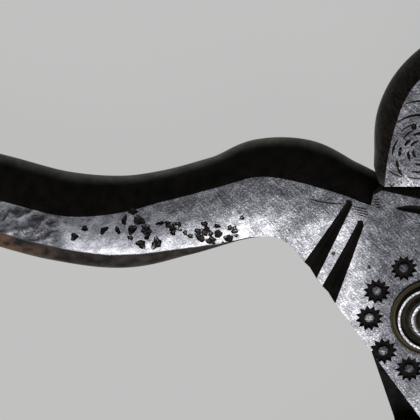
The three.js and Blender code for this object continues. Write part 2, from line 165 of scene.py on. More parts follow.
# Sections of an arm: a rounded outer side that meets the flat faces at an edge, and rounded inner corners.
def arm_section(half_width, bulge, thick, inner_round):
    points = []
    for i in range(25):
        s = i / 12 - 1
        points.append((half_width - bulge * s * s, thick * s))
    for quarter, up in ((1, thick - inner_round), (2, inner_round - thick)):
        for i in range(7):
            angle = math.pi / 2 * (quarter + i / 6)
            out = inner_round - half_width + inner_round * math.cos(angle)
            points.append((out, up + inner_round * math.sin(angle)))
    return points


def arm(stations):
    middle = smooth_line([s[:2] for s in stations])
    sizes = smooth_line([s[2:] for s in stations])

    def at(t):
        x, y = middle(t)
        back, on = middle(max(0, t - 0.0001)), middle(min(1, t + 0.0001))
        run = Vector((on[0] - back[0], on[1] - back[1])).normalized()
        return Vector((x, y)), run, Vector((run.y, -run.x)), sizes(t)

    return at


def arm_ring(place, inner_round, scale=1):
    point, run, outward, sizes = place
    section = arm_section(*sizes, min(inner_round, 0.9 * sizes[0], 0.9 * sizes[2]))
    return [(*(point + outward * out * scale), up * scale) for out, up in section]


# Stations along the handle and the jaw, as shares of its sizes: place, half width and bulge. The jaw's last
# share says how far its thickness has grown to the blade's.
shoulder_shares = ((.27, .62, .42, .67), (.44, .74, .42, .73), (.66, .86, .48, .96), (.9, .89, .5, .77),
                   (1.16, .86, .44, .56), (1.47, .82, .46, .55), (1.79, .81, .5, .73))
bow_shares = ((.23, .62, .49, .98), (.27, .73, .49, 1), (.32, .86, .49, 1), (.39, .96, .46, .98),
              (.47, 1, .44, .95), (.56, .98, .41, .93), (.67, .87, .38, .91), (.78, .66, .36, .88),
              (.88, .42, .36, .86), (.94, .3, .35, .84), (1, .21, .34, .83))
jaw_shares = ((.14, .52, .37, .55, 0), (.18, .65, .43, .49, 0), (.24, .8, .45, .65, 0),
              (.31, .94, .49, 1, 0), (.39, 1, .5, .84, 0), (.55, .96, .47, .82, .04),
              (.7, .81, .4, .71, .24), (.82, .59, .31, .57, .55), (.91, .36, .21, .42, .82),
              (.97, .15, .12, .25, .96))
thinning = 0.055
shoulder = [(-shoulder_reach * x, shoulder_height * y, handle_width * w, handle_bulge * b, half)
            for x, y, w, b in shoulder_shares]
bow = [(-handle_length * x, handle_bow * y, handle_width * w, handle_bulge * b, half - thinning * i)
       for i, (x, y, w, b) in enumerate(bow_shares)]
handle_at = arm(shoulder + bow)
jaw = [(jaw_length * x, -jaw_bow * y, jaw_width * w, jaw_bulge * b, half + (blade_width / 2 - half) * f)
       for x, y, w, b, f in jaw_shares]
jaw_at = arm(jaw + [(jaw_length, -0.5, 0.3, 0.15, blade_width / 2)])


# The inner corners are sharp at the shoulder and grow round along the first part of the handle.
root_round = 0.3
round_growth = 2.3
end_round = 2.6
round_run_start = 20
round_run = 15


def corner_round(x):
    share = min(1, max(0, (-x - round_run_start) / round_run))
    return root_round + round_growth * share * share * (3 - 2 * share)


handle_steps = 330
jaw_steps = 120
jaw_inner_round = 0.8
handle_rings = []
for i in range(handle_steps + 1):
    place = handle_at(i / handle_steps)
    handle_rings.append(arm_ring(place, corner_round(place[0].x)))
point, run, outward, sizes = handle_at(1)
for degrees in range(10, 90, 10):
    ahead = point + run * sizes[0] * math.sin(math.radians(degrees))
    handle_rings.append(arm_ring((ahead, run, outward, sizes), end_round, math.cos(math.radians(degrees))))
jaw_rings = [arm_ring(jaw_at(i / jaw_steps), jaw_inner_round) for i in range(jaw_steps + 1)]


def sector(start, end, high):
    steps = 24
    angles = [start + (end - start) * i / steps for i in range(steps + 1)]
    near = [polar(lap_radius, a) for a in angles]
    far = [polar(stop_radius + overrun, a) for a in reversed(angles)]
    return plate("sector_tool", near + far, -overrun, high)


edge_shares = ((.14, .81), (.23, .78), (.26, .72), (.43, .81), (.66, .9), (.9, .97), (1, .96), (1, .65),
               (.94, .64))


def joint_outline():
    edge = [(-shoulder_reach * x, shoulder_height * y) for x, y in edge_shares]
    foot = polar(back_edge_distance, back_edge_angle)
    run = polar(math.sqrt((1.15 * lap_radius) ** 2 - back_edge_distance ** 2), back_edge_angle - 90)
    corner = foot[0] + run[0], foot[1] + run[1]
    bend = -shoulder_reach * 0.82, shoulder_height * 0.64
    fillet = []
    for i in range(1, 25):
        t = i / 24
        fillet.append(tuple((1 - t) ** 2 * a + 2 * t * (1 - t) * b + t * t * c
                            for a, b, c in zip(edge[-1], bend, corner)))
    start = back_edge_angle + math.degrees(math.acos(back_edge_distance / lap_radius)) - 360
    arc = [polar(lap_radius, start + (front_edge_angle - start) * i / 110) for i in range(111)]
    return arc + edge + fillet


def front_tool():
    half_chord = math.sqrt(lap_radius ** 2 - front_edge_distance ** 2)
    slope = math.tan(math.radians(stop_corner_angle - front_edge_angle))
    far = front_edge_distance + overrun
    block = plate("front_tool", [(front_edge_distance, -half_chord), (far, -half_chord), (far, far * slope),
                                 (front_edge_distance, front_edge_distance * slope)], -overrun, overrun)
    block.data.transform(Matrix.Rotation(math.radians(front_edge_angle), 4, "Z"))
    return block


lever = plate("lever", joint_outline(), -half, half)
work_on(lever, loft("handle", handle_rings), "UNION")
work_on(lever, front_tool())
work_on(lever, sector(front_edge_angle, stop_corner_angle + stop_relief, lap_gap / 2))
claw = loft("claw", jaw_rings)
work_on(claw, sector(-stop_corner_angle, -jaw_crotch_angle, overrun))
work_on(lever, claw, "UNION")
work_on(lever, disc("lap_tool", lap_radius + lap_clearance, pocket_low, lap_gap / 2, 240))
pocket_end = jaw_pocket_share * lap_radius
work_on(lever, beyond_edge(0, -jaw_shoulder_angle, -lap_radius, pocket_end,
                           jaw_shoulder_distance, pocket_low, lap_gap / 2))
work_on(lever, disc("rivet_tool", rivet_hole, pocket_low, overrun, 96))


# Two tapered notches are filed across the shoulder, each with a V floor.
def notch(start, end):
    side = Vector((start[1] - end[1], end[0] - start[0])).normalized()
    tip = tuple(Vector(end) + (Vector(end) - Vector(start)).normalized() * 0.5)
    rings = []
    for (x, y), width, depth in ((start, 2.6, 0.9), (end, 0.85, 0.35), (tip, 0.3, 0.05)):
        reach = side * width / 2 * (lap_gap + depth) / depth
        rings.append([(x - reach.x, y - reach.y, half + lap_gap), (x, y, half - depth),
                      (x + reach.x, y + reach.y, half + lap_gap)])
    return loft("notch_tool", rings)


for start, end in (((-14.44, 7), (-7.41, 15.9)), ((-12.54, 3.6), (-6.46, 13.14))):
    work_on(lever, notch(start, end))


# A star punch with twelve points and a dished middle leaves a black star with a round dot standing in it.
def star_tool(x, y, turn, size):
    def ring(radii, depth):
        steps = 24
        return [(x + r * math.cos(a), y + r * math.sin(a), half - depth)
                for i in range(steps)
                for r, a in ((size * radii[i % 2], math.radians(turn + 360 * i / steps)),)]
    rings = [ring((1.78, 1.26), -0.15), ring((1.6, 1.12), 0.3), ring((0.72, 0.72), 0.3),
             ring((0.6, 0.6), 0.15), ring((0.42, 0.42), 0.1), ring((0.2, 0.2), 0.08)]
    return loft("star_tool", rings)


star_places = [(-3.40, 6.26), (-6.53, 3.33), (-7.35, -0.13), (-5.6, -4.4)]
star_places += [tuple(Vector(polar(7.15, 118.5 + 32.9 * i))) for i in range(4, 11)]
star_turn = math.radians(10)
picks = random.Random(4)
for u, v in star_places:
    x = u * math.cos(star_turn) + v * math.sin(star_turn)
    y = v * math.cos(star_turn) - u * math.sin(star_turn)
    work_on(lever, star_tool(x, y, picks.uniform(0, 30), picks.uniform(0.97, 1.03)))


# Strokes of a graver: V cuts that run out at both ends. Side 1 is the face with the stars, -1 the other one.
graver_lift = 0.05


def stroke(path, width, depth, side=1):
    line = smooth_line(path)
    steps = max(6, 5 * len(path))
    rings = []
    for i in range(steps + 1):
        t = i / steps
        x, y = line(t)
        back, on = line(max(0, t - 0.01)), line(min(1, t + 0.01))
        across = Vector((back[1] - on[1], on[0] - back[0])).normalized()
        swell = max(0.06, math.sin(math.pi * t) ** 0.5)
        wide = across * width / 2 * swell * (1 + graver_lift / depth)
        low = side * (half - depth * swell)
        high = side * (half + graver_lift * swell)
        rings.append([(x - wide.x, y - wide.y, high), (x, y, low), (x + wide.x, y + wide.y, high)])
    return loft("graver_tool", rings)


def engrave(strokes, side=1):
    for path, width, depth in strokes:
        work_on(lever, stroke(path, width, depth, side))


border = [([(-2.05, 14.45), (0.7, 13.72), (5.6, 11.6), (10.4, 9.1)], 1.15, 0.34)]
edge_line = [([(-12, 17.4), (-9.9, 16.5), (-7.7, 16)], 0.16, 0.08)]
hatching = [([(-4.5, 16 - 0.33 * i), (-3.8, 15.85 - 0.33 * i)], 0.15, 0.1) for i in range(4)]
hatching += [([(-7.1 + 0.1 * i, 15.6 - 0.35 * i), (-5.2, 14.8 - 0.35 * i)], 0.13, 0.08) for i in range(4)]
engrave(border + edge_line + hatching)


# The root of the jaw carries an engraved whorl on both faces: broken rings of thick and thin cuts, with two
# long thin bands round the outside.
whorl_centre = Vector((13.1, -16.2))
whorl_width_share = 0.9
whorl_depth_share = 0.5
# Each cut: near and far radius, start and end angle, width, depth.
whorl = [
    (6.3, 6.4, -66, 16, 0.42, 0.2), (4.7, 4.5, -84, 20, 0.42, 0.2), (4.3, 3.6, -166, -192, 0.22, 0.1),
    (2.45, 2.4, -147, -118, 0.5, 0.2), (2.05, 2, -112, -82, 0.42, 0.18),
    (2.9, 3.5, -155, -190, 0.5, 0.2), (3.3, 3.1, -142, -104, 0.3, 0.14),
    (2.7, 2.9, -98, -62, 0.26, 0.12), (2.3, 2.5, -72, -28, 0.4, 0.18), (3.2, 3.3, -54, -8, 0.3, 0.14),
    (3.5, 3.6, -88, -60, 0.2, 0.1), (1.5, 1.4, -172, -128, 0.42, 0.18),
    (1.4, 1.5, -104, -56, 0.36, 0.16), (1.5, 1.3, -38, 16, 0.4, 0.18),
    (0.75, 0.9, -190, -110, 0.36, 0.16), (0.8, 0.7, -60, 30, 0.34, 0.16), (2.2, 2, -14, 34, 0.4, 0.18),
    (3, 2.8, 8, 44, 0.32, 0.14), (1.5, 1.6, 34, 88, 0.36, 0.16), (2.4, 2.3, 52, 98, 0.34, 0.15),
    (3.2, 3, 64, 102, 0.26, 0.12), (1.4, 1.5, 108, 160, 0.36, 0.16), (2.3, 2.5, 116, 158, 0.34, 0.15),
    (3.1, 3.3, 120, 162, 0.24, 0.12)]


def whorl_cut(near, far, start, end, width, depth):
    steps = 6
    path = []
    for i in range(steps + 1):
        share = i / steps
        place = polar(near + (far - near) * share, start + (end - start) * share)
        path.append(tuple(whorl_centre + Vector(place)))
    return path, whorl_width_share * width, whorl_depth_share * depth


for side in (-1, 1):
    engrave([whorl_cut(*cut) for cut in whorl], side)

# Rust pits are irregular and shallow. The walls give a ring's size and its depth as shares of the pit's.
deepest_pit = 0.18
pit_walls = ((1.15, 0.05), (0.75, 0.55), (0.35, 1))
dish_walls = ((1.08, 0.01), (0.95, 0.08), (0.8, 0.21), (0.6, 0.36), (0.38, 0.46), (0.15, 0.5))


def pit_tool(x, y, size, side, walls=pit_walls):
    steps = 16
    waves = [(picks.uniform(0.05, 0.2), picks.uniform(0, 6.3), k) for k in (2, 3, 5)]
    stretch = picks.uniform(0.55, 1)
    turn = picks.uniform(0, math.pi)
    depth = min(deepest_pit, size * 0.4)

    def ring(scale, height):
        points = []
        for i in range(steps):
            a = 2 * math.pi * i / steps
            r = size * scale * (1 + sum(rise * math.sin(k * a + start) for rise, start, k in waves))
            px, py = r * math.cos(a), r * stretch * math.sin(a)
            to_x = x + px * math.cos(turn) - py * math.sin(turn)
            to_y = y + px * math.sin(turn) + py * math.cos(turn)
            points.append((to_x, to_y, side * height))
        return points

    floor_rings = [ring(scale, half - share * depth) for scale, share in walls]
    return loft("pit_tool", [ring(1.3, half + 0.1)] + floor_rings)


# The worst of them lie on the first part of the handle, on the face with the stars. Smaller ones are
# scattered along both faces of the handle, with a few on the jaw.
big_pits = [
    (-36.4, 17.7, 0.5), (-34.8, 17.4, 0.42), (-33.8, 18.5, 0.5), (-33.1, 17.2, 0.6),
    (-32.6, 19.5, 0.46), (-32.1, 18.2, 0.7), (-33.5, 16.2, 0.3), (-31.5, 16.9, 0.6), (-31.5, 16, 0.42),
    (-32.4, 15.2, 0.5), (-30.6, 15, 0.6), (-29.7, 17.4, 0.4), (-28.4, 16, 0.34), (-38.6, 18.3, 0.34),
    (-40, 17.5, 0.4), (-24.2, 14.2, 0.6), (-23.2, 14.9, 0.5), (-25.3, 14.6, 0.42), (-22.1, 14.1, 0.46),
    (-24.4, 15.7, 0.4), (-26.5, 15.2, 0.3), (-21.2, 15.2, 0.3), (-22.9, 13.5, 0.3),
    (-20.1, 16.4, 0.26), (-16.7, 13.1, 0.3), (-10.2, 10.1, 0.22), (-6.3, 7.7, 0.2), (-4.2, 17.2, 0.2)]
for i in range(26):
    along = picks.uniform(-1, 1)
    across = picks.uniform(-1, 1) * math.sqrt(1 - along * along)
    big_pits.append((-25.2 + 4.4 * along, 15.8 - 1.2 * along + across, picks.uniform(0.15, 0.4)))
for x, y, size in big_pits:
    work_on(lever, pit_tool(x, y, size, 1))
jaw_pits = ((14.7, -19.1, 0.36), (8, -15.6, 0.24), (9, -15.1, 0.14), (19.2, -19.8, 0.2), (23.6, -17.1, 0.24))
for x, y, size in jaw_pits:
    for side in (1, -1):
        work_on(lever, pit_tool(x, y, size, side))

edge_inset = 0.4
for side in (1, -1):
    for i in range(46):
        t = picks.uniform(0.52, 0.68) if i < 22 else picks.uniform(0.6, 0.96)
        if side < 0 and i < 22:
            t = picks.uniform(0.3, 0.6)
        point, run, outward, sizes = handle_at(t)
        thick = sizes[2]
        out = picks.uniform(-sizes[0] + corner_round(point.x) + edge_inset, sizes[0] - sizes[1] - edge_inset)
        place = point + outward * out
        tool = pit_tool(place.x, place.y, picks.choice((0.18, 0.26, 0.4, 0.6)), side)
        tool.data.transform(Matrix.Translation((0, 0, side * (thick - half))))
        work_on(lever, tool)

# Far out on the handle the faces are beaten into shallow hollows.
hollow_start_share = 0.412
hollow_step_share = 0.0065
for side in (1, -1):
    for i in range(20):
        along = hollow_start_share + hollow_step_share * (i + picks.random())
        point, run, outward, sizes = handle_at(along)
        out = picks.uniform(0.8 - sizes[0] + corner_round(point.x), sizes[0] - sizes[1] - 0.5)
        place = point + outward * out
        tool = pit_tool(place.x, place.y, picks.uniform(0.5, 0.95), side, dish_walls)
        tool.data.transform(Matrix.Translation((0, 0, side * (sizes[2] - half))))
        work_on(lever, tool)


# Each lever's own places go with its mesh, for the finish and its painted highlight: where a point lies
# along the forging, how near it is to the handle's inner edge, and how deep below the flat face.
handle_start = -14


def note_places(piece):
    line = [handle_at(i / handle_steps) for i in range(handle_steps + 1)]
    places, shares, rims, depths = [], [], [], []
    for vertex in piece.data.vertices:
        x, y, z = vertex.co
        share, rim, thick = 0, -2, half
        if x < handle_start and y > 0:
            i = min(range(handle_steps + 1), key=lambda k: abs(line[k][0].x - x))
            near = line[max(0, i - 8):i + 9]
            point, run, outward, sizes = min(near, key=lambda place: (place[0] - Vector((x, y))).length)
            inward = -(Vector((x, y)) - point).dot(outward)
            share = inward / sizes[0] * min(1, (handle_start - x) / 6)
            rim = inward - sizes[0] + corner_round(point.x)
            thick = sizes[2]
        places.extend((x, y, z))
        shares.append(share)
        rims.append(rim)
        depths.append(thick - abs(z))
    notes = (("own_place", "FLOAT_VECTOR", "vector", places), ("inner_side", "FLOAT", "value", shares),
             ("inner_rim", "FLOAT", "value", rims), ("sunk", "FLOAT", "value", depths))
    for name, kind, field, values in notes:
        piece.data.attributes.new(name, kind, "POINT").data.foreach_set(field, values)


def settle(piece, name, closed_turn, turned_over=False):
    place = Matrix.Scale(0.001, 4) @ Matrix.Translation((0, 0, mid_height))
    place = place @ Matrix.Rotation(math.radians(closed_turn), 4, "Z")
    if turned_over:
        place = place @ Matrix.Rotation(math.pi, 4, "X")
    piece.data.transform(place)
    piece.data.shade_smooth()
    piece.data.set_sharp_from_angle(angle=math.radians(24))
    piece.name = name


lever_under = bpy.data.objects.new("under_lever", lever.data.copy())
bpy.context.scene.collection.objects.link(lever_under)
pin_low, pin_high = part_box("catch_pin")
pin_place = (Vector(pin_low) + Vector(pin_high)) * 500
pin_place.z = 0
pin_place.rotate(Matrix.Rotation(math.radians(open_angle / 2), 3, "Z"))
pin_hole_radius = 1.5
pin_hole = disc("pin_tool", pin_hole_radius, -overrun, overrun, 48)
pin_hole.data.transform(Matrix.Translation(pin_place))
work_on(lever, pin_hole)
foot_start = 23
foot_end = 36
screw_reach = 29.5
screw_hole_radius = 1.7
screw_seat = 0.6
leaf_offset = 0.85
inside = []
for i in range(200):
    point, run, outward, sizes = handle_at(i / 199)
    inside.append(point - outward * sizes[0])
leaf_seat = leaf_offset - min(p.y for p in inside if foot_start < -p.x < foot_end)
screw_hole = disc("screw_tool", screw_hole_radius, 0, 6.8, 48)
across_handle = Matrix.Rotation(-math.pi / 2, 4, "X")
screw_hole.data.transform(Matrix.Translation((-screw_reach, -leaf_seat - screw_seat, 0)) @ across_handle)
work_on(lever_under, screw_hole)
note_places(lever)
note_places(lever_under)
settle(lever, "over_lever", -open_angle / 2)
settle(lever_under, "under_lever", open_angle / 2, True)


def put(tree, kind, inputs=(), **settings):
    made = tree.nodes.new(kind)
    for name, value in settings.items():
        setattr(made, name, value)
    for name, value in dict(inputs).items():
        if isinstance(value, bpy.types.NodeSocket):
            tree.links.new(value, made.inputs[name])
        else:
            made.inputs[name].default_value = value
    return made


def sums(tree, operation, *values):
    return put(tree, "ShaderNodeMath", dict(enumerate(values)), operation=operation).outputs[0]


def band(tree, value, low, high, to_low=0.0, to_high=1.0):
    inputs = {"Value": value, "From Min": low, "From Max": high, "To Min": to_low, "To Max": to_high}
    return put(tree, "ShaderNodeMapRange", inputs, interpolation_type="SMOOTHSTEP").outputs["Result"]


def product(tree, a, b):
    return sums(tree, "MULTIPLY", a, b)


def total(tree, a, b):
    return sums(tree, "ADD", a, b)


def stretched(tree, vector, shares):
    return put(tree, "ShaderNodeVectorMath", {0: vector, 1: shares}, operation="MULTIPLY").outputs[0]


def noise(tree, vector, scale, detail, roughness):
    inputs = {"Vector": vector, "Scale": scale, "Detail": detail, "Roughness": roughness}
    return put(tree, "ShaderNodeTexNoise", inputs).outputs["Fac"]


def tint(tree, share, low, high):
    made = put(tree, "ShaderNodeMix", {0: share, 6: low, 7: high}, data_type="RGBA")
    return made.outputs[2]


def effect(name, inputs, outputs):
    tree = bpy.data.node_groups.new(name, "ShaderNodeTree")
    for socket, value in inputs:
        made = tree.interface.new_socket(socket, in_out="INPUT", socket_type="NodeSocketFloat")
        made.default_value = value
    for socket, kind in outputs:
        tree.interface.new_socket(socket, in_out="OUTPUT", socket_type=kind)
    return tree, tree.nodes.new("NodeGroupInput").outputs, tree.nodes.new("NodeGroupOutput")


def placed(tree, group, **inputs):
    made = tree.nodes.new("ShaderNodeGroup")
    made.node_tree = group
    for name, value in inputs.items():
        socket = made.inputs[name.replace("_", " ")]
        if isinstance(value, bpy.types.NodeSocket):
            tree.links.new(value, socket)
        else:
            socket.default_value = value
    return made.outputs


# Where a surface lies: how far it faces up or down, and how deep it is below the tool's two outer faces.
upper_face = 8.45
lower_face = 0.95
relief, given, out = effect("relief", [("Upper face", upper_face), ("Lower face", lower_face)],
                            [("Flat", "NodeSocketFloat"), ("Depth", "NodeSocketFloat")])
where = put(relief, "ShaderNodeTexCoord")
normal = put(relief, "ShaderNodeSeparateXYZ", {0: where.outputs["Normal"]})
spot = put(relief, "ShaderNodeSeparateXYZ", {0: where.outputs["Object"]})
height = product(relief, spot.outputs["Z"], 1000)
above = sums(relief, "SUBTRACT", height, given["Lower face"])
below = sums(relief, "SUBTRACT", given["Upper face"], height)
relief.links.new(sums(relief, "ABSOLUTE", normal.outputs["Z"]), out.inputs["Flat"])
relief.links.new(sums(relief, "MINIMUM", above, below), out.inputs["Depth"])

# Hammered and filed steel: fine speckle, filing streaks at an angle, and cloudy patches.
grain, given, out = effect("steel_grain",
                           [("Speckle scale", 4.6), ("Streak turn", 1.26), ("Cloud scale", 0.7)],
                           [("Speckle", "NodeSocketFloat"), ("Streak", "NodeSocketFloat"),
                            ("Cloud", "NodeSocketFloat")])
where = put(grain, "ShaderNodeTexCoord")
in_mm = stretched(grain, where.outputs["Object"], (1000, 1000, 1000))
fine = noise(grain, in_mm, given["Speckle scale"], 3.0, 0.6)
grain.links.new(band(grain, fine, 0.34, 0.66), out.inputs["Speckle"])
turned = put(grain, "ShaderNodeVectorRotate", {"Vector": in_mm, "Angle": given["Streak turn"]},
             rotation_type="Z_AXIS")
drawn = noise(grain, stretched(grain, turned.outputs[0], (0.6, 4.8, 1.2)), 1.0, 2.0, 0.55)
grain.links.new(band(grain, drawn, 0.35, 0.65), out.inputs["Streak"])
cloudy = noise(grain, in_mm, given["Cloud scale"], 3.0, 0.5)
grain.links.new(band(grain, cloudy, 0.32, 0.68), out.inputs["Cloud"])

# Edges slightly rounded by use, and lightened: partly rubbed wear, partly a painted highlight.
wear_and_glint, given, out = effect("worn_edge", [("Radius", 0.0002)],
                          [("Wear_and_glint", "NodeSocketFloat"), ("Normal", "NodeSocketVector")])
rounded = put(wear_and_glint, "ShaderNodeBevel", {"Radius": given["Radius"]}, samples=6)
surface = put(wear_and_glint, "ShaderNodeNewGeometry")
match = put(wear_and_glint, "ShaderNodeVectorMath", {0: rounded.outputs[0], 1: surface.outputs["Normal"]},
            operation="DOT_PRODUCT")
wear_and_glint.links.new(band(wear_and_glint, match.outputs["Value"], 0.995, 0.9), out.inputs["Wear_and_glint"])
wear_and_glint.links.new(rounded.outputs[0], out.inputs["Normal"])


def steel(name):
    made = bpy.data.materials.new(name)
    made.use_nodes = True
    return made, made.node_tree, made.node_tree.nodes["Principled BSDF"]


def bumped(tree, shader, strength, distance, height, normal):
    inputs = {"Strength": strength, "Distance": distance, "Height": height, "Normal": normal}
    tree.links.new(put(tree, "ShaderNodeBump", inputs).outputs[0], shader.inputs["Normal"])


def wear_material(piece, material):
    piece.data.materials.clear()
    piece.data.materials.append(material)


forged, tree, shader = steel("forged_steel")
shader.inputs["Specular IOR Level"].default_value = 0.04
shader.inputs["Sheen Weight"].default_value = 0.15
shader.inputs["Sheen Roughness"].default_value = 0.3
shader.inputs["Sheen Tint"].default_value = (0.9, 0.9, 0.78, 1)
lie = placed(tree, relief)
texture = placed(tree, grain)
edge = placed(tree, wear_and_glint, Radius=0.00012)
place = put(tree, "ShaderNodeAttribute", attribute_name="own_place").outputs["Vector"]
own = put(tree, "ShaderNodeSeparateXYZ", {0: place})
own_x, own_y = own.outputs["X"], own.outputs["Y"]
inner = put(tree, "ShaderNodeAttribute", attribute_name="inner_side").outputs["Fac"]
rim = put(tree, "ShaderNodeAttribute", attribute_name="inner_rim").outputs["Fac"]
depth = put(tree, "ShaderNodeAttribute", attribute_name="sunk").outputs["Fac"]
rim = band(tree, total(tree, rim, product(tree, texture["Cloud"], 0.1)), 0.05, 0.25)
rim = product(tree, rim, band(tree, own_x, -21.0, -25.0))
reach = sums(tree, "SQRT", total(tree, product(tree, own_x, own_x), product(tree, own_y, own_y)))
jaw_part = sums(tree, "MAXIMUM", band(tree, own_y, -8.0, -11.0), band(tree, own_x, 14.0, 17.0))

# The flat faces are filed bright, speckled and scratched, and rubbed smoother along the handle. A painted
# highlight makes them palest along the handle's inner edge, the joint's back edge and the foot of the jaw.
edge_x, edge_y = polar(1, back_edge_angle)
past_back = total(tree, product(tree, own_x, edge_x), product(tree, own_y, edge_y))
near_back = band(tree, past_back, back_edge_distance - 3, back_edge_distance - 0.2, 0.0, 0.5)
near_back = sums(tree, "MAXIMUM", near_back, band(tree, own_x, -2.4, -9.0, 0.0, 0.86))
near_back = product(tree, near_back, band(tree, reach, 27.0, 17.0))
near_back = product(tree, near_back, band(tree, own_y, -11.0, -7.0))
near_back = product(tree, near_back, band(tree, own_y, 16.6, 13.8))
pale = sums(tree, "MAXIMUM", near_back, band(tree, inner, -0.3, 0.75))
pale = product(tree, pale, band(tree, own_x, -38.0, -44.0, 1.0, 0.45))
jaw_foot = product(tree, jaw_part, band(tree, reach, 19.4, 17.0))
smooth = band(tree, own_x, -14.0, -38.0, 1.0, 0.25)
smooth = product(tree, smooth, band(tree, pale, 0.5, 1.0, 1.0, 0.6))
face = band(tree, total(tree, lie["Flat"], product(tree, texture["Speckle"], 0.03)), 0.94, 0.985)
face = product(tree, face, sums(tree, "SUBTRACT", 1.0, rim))
clean = band(tree, sums(tree, "SUBTRACT", depth, product(tree, texture["Speckle"], 0.04)), 0.16, 0.01)
bright = product(tree, face, clean)
grit = product(tree, texture["Speckle"], 0.24)
grit = total(tree, grit, product(tree, texture["Streak"], 0.16))
grit = product(tree, sums(tree, "SUBTRACT", grit, 0.2), smooth)
tone = total(tree, grit, product(tree, texture["Cloud"], 0.2))
# Painted highlight along the handle's inner edge and the joint's back edge.
tone = total(tree, tone, product(tree, pale, 0.58))
# Painted highlight along the foot of the jaw.
tone = total(tree, tone, product(tree, jaw_foot, 0.34))
# Edges and pit rims lighter: partly wear, partly painted highlight.
tone = total(tree, tone, product(tree, edge["Wear_and_glint"], 0.3))
# Darker towards the notch tops.
notch_top_darkening = product(tree, band(tree, own_y, 7.5, 13.0), band(tree, own_x, -8.0, -4.0))
tone = sums(tree, "SUBTRACT", tone, product(tree, notch_top_darkening, 0.06))
tone = total(tree, tone, 0.17)

# The face rolls between the hollows far out on the handle, and painted shade darkens the hollows. One dark
# seam crosses it where they begin.
beaten = noise(tree, stretched(tree, place, (0.55, 0.85, 0.6)), 1.0, 1.2, 0.5)
shaded_hollows_and_seam = band(tree, beaten, 0.6, 0.34)
far_out = band(tree, own_x, -40.9, -42.5)
rolling = product(tree, beaten, far_out)
shaded_hollows_and_seam = product(tree, shaded_hollows_and_seam, far_out)
lean = total(tree, own_x, product(tree, sums(tree, "SUBTRACT", 20.3, own_y), 0.24))
seam = band(tree, sums(tree, "ABSOLUTE", total(tree, lean, 41.5)), 0.6, 0.1)
shaded_hollows_and_seam = sums(tree, "MAXIMUM", shaded_hollows_and_seam, product(tree, seam, 0.5))
shaded_hollows_and_seam = product(tree, shaded_hollows_and_seam, face)
rolling = product(tree, rolling, face)
# Painted shade in the hollows, with the dark seam, lowers the tone.
tone = sums(tree, "SUBTRACT", tone, product(tree, shaded_hollows_and_seam, 0.24))
face_ramp = put(tree, "ShaderNodeValToRGB", {0: tone})
face_ramp.color_ramp.elements[0].position = 0.0
face_ramp.color_ramp.elements[0].color = (0.02, 0.02, 0.022, 1)
face_ramp.color_ramp.elements[1].position = 1.0
face_ramp.color_ramp.elements[1].color = (0.6, 0.6, 0.62, 1)
middle_tones = ((0.25, (0.055, 0.056, 0.063, 1)), (0.5, (0.13, 0.131, 0.147, 1)),
                (0.75, (0.29, 0.29, 0.315, 1)))
for position, colour in middle_tones:
    face_ramp.color_ramp.elements.new(position).color = colour

# The sides stay black from the fire, but a painted grey reflection lightens their crest. They are browner on
# the jaw and on the handle's inner side, where red rust begins far out.
side_colour = tint(tree, texture["Cloud"], (0.0028, 0.0025, 0.0022, 1), (0.0065, 0.0057, 0.005, 1))
# Painted reflection: the crest of the sides is lightened towards grey.
crest_reflection = band(tree, depth, 2.1, 3.7)
crest_reflection = product(tree, crest_reflection, total(tree, 0.7, product(tree, texture["Cloud"], 0.5)))
crest_reflection = product(tree, crest_reflection, band(tree, reach, 15.5, 18.0))
handle_crest_reflection = product(tree, crest_reflection, band(tree, own_x, 6.0, 0.0))
handle_crest_reflection = product(tree, handle_crest_reflection, band(tree, own_x, -52.0, -80.0, 1.0, 0.4))
side_colour = tint(tree, handle_crest_reflection, side_colour, (0.13, 0.13, 0.112, 1))
jaw_colour = tint(tree, texture["Streak"], (0.0022, 0.0013, 0.0011, 1), (0.015, 0.0112, 0.009, 1))
# The same painted reflection, at half strength and fading out along the jaw, lightens the jaw's crest.
crest_reflection = product(tree, crest_reflection, band(tree, reach, 24.0, 32.0, 0.5, 0.0))
jaw_colour = tint(tree, crest_reflection, jaw_colour, (0.05, 0.047, 0.042, 1))
# Painted highlight on the jaw's side near its foot.
jaw_colour = tint(tree, product(tree, jaw_foot, 0.8), jaw_colour, (0.1, 0.088, 0.076, 1))
side_colour = tint(tree, jaw_part, side_colour, jaw_colour)
rust_colour = tint(tree, texture["Cloud"], (0.009, 0.0075, 0.0065, 1), (0.034, 0.028, 0.024, 1))
red = product(tree, band(tree, own_x, -40.0, -50.0), band(tree, own_x, -55.0, -90.0, 1.0, 0.3))
red = product(tree, red, texture["Cloud"])
rust_colour = tint(tree, red, rust_colour, (0.1, 0.058, 0.036, 1))
side_colour = tint(tree, band(tree, inner, 0.4, 0.5), side_colour, rust_colour)
dirt_colour = tint(tree, texture["Cloud"], (0.0015, 0.0012, 0.001, 1), (0.009, 0.0072, 0.0064, 1))
dark = tint(tree, face, side_colour, dirt_colour)
tree.links.new(tint(tree, bright, dark, face_ramp.outputs[0]), shader.inputs["Base Color"])
tree.links.new(bright, shader.inputs["Metallic"])
rough = sums(tree, "SUBTRACT", 0.48, product(tree, texture["Speckle"], 0.12))
tree.links.new(rough, shader.inputs["Roughness"])
grit = product(tree, total(tree, texture["Speckle"], product(tree, texture["Streak"], 0.5)), smooth)
dents = total(tree, product(tree, texture["Cloud"], 2.0), product(tree, rolling, 16.0))
bumped(tree, shader, 1.0, 0.000025, total(tree, grit, dents), edge["Normal"])

for piece, body, node in ((lever, "over", "lever_over"), (lever_under, "under", "lever_under")):
    wear_material(piece, forged)
    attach(piece, body)
    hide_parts(node)

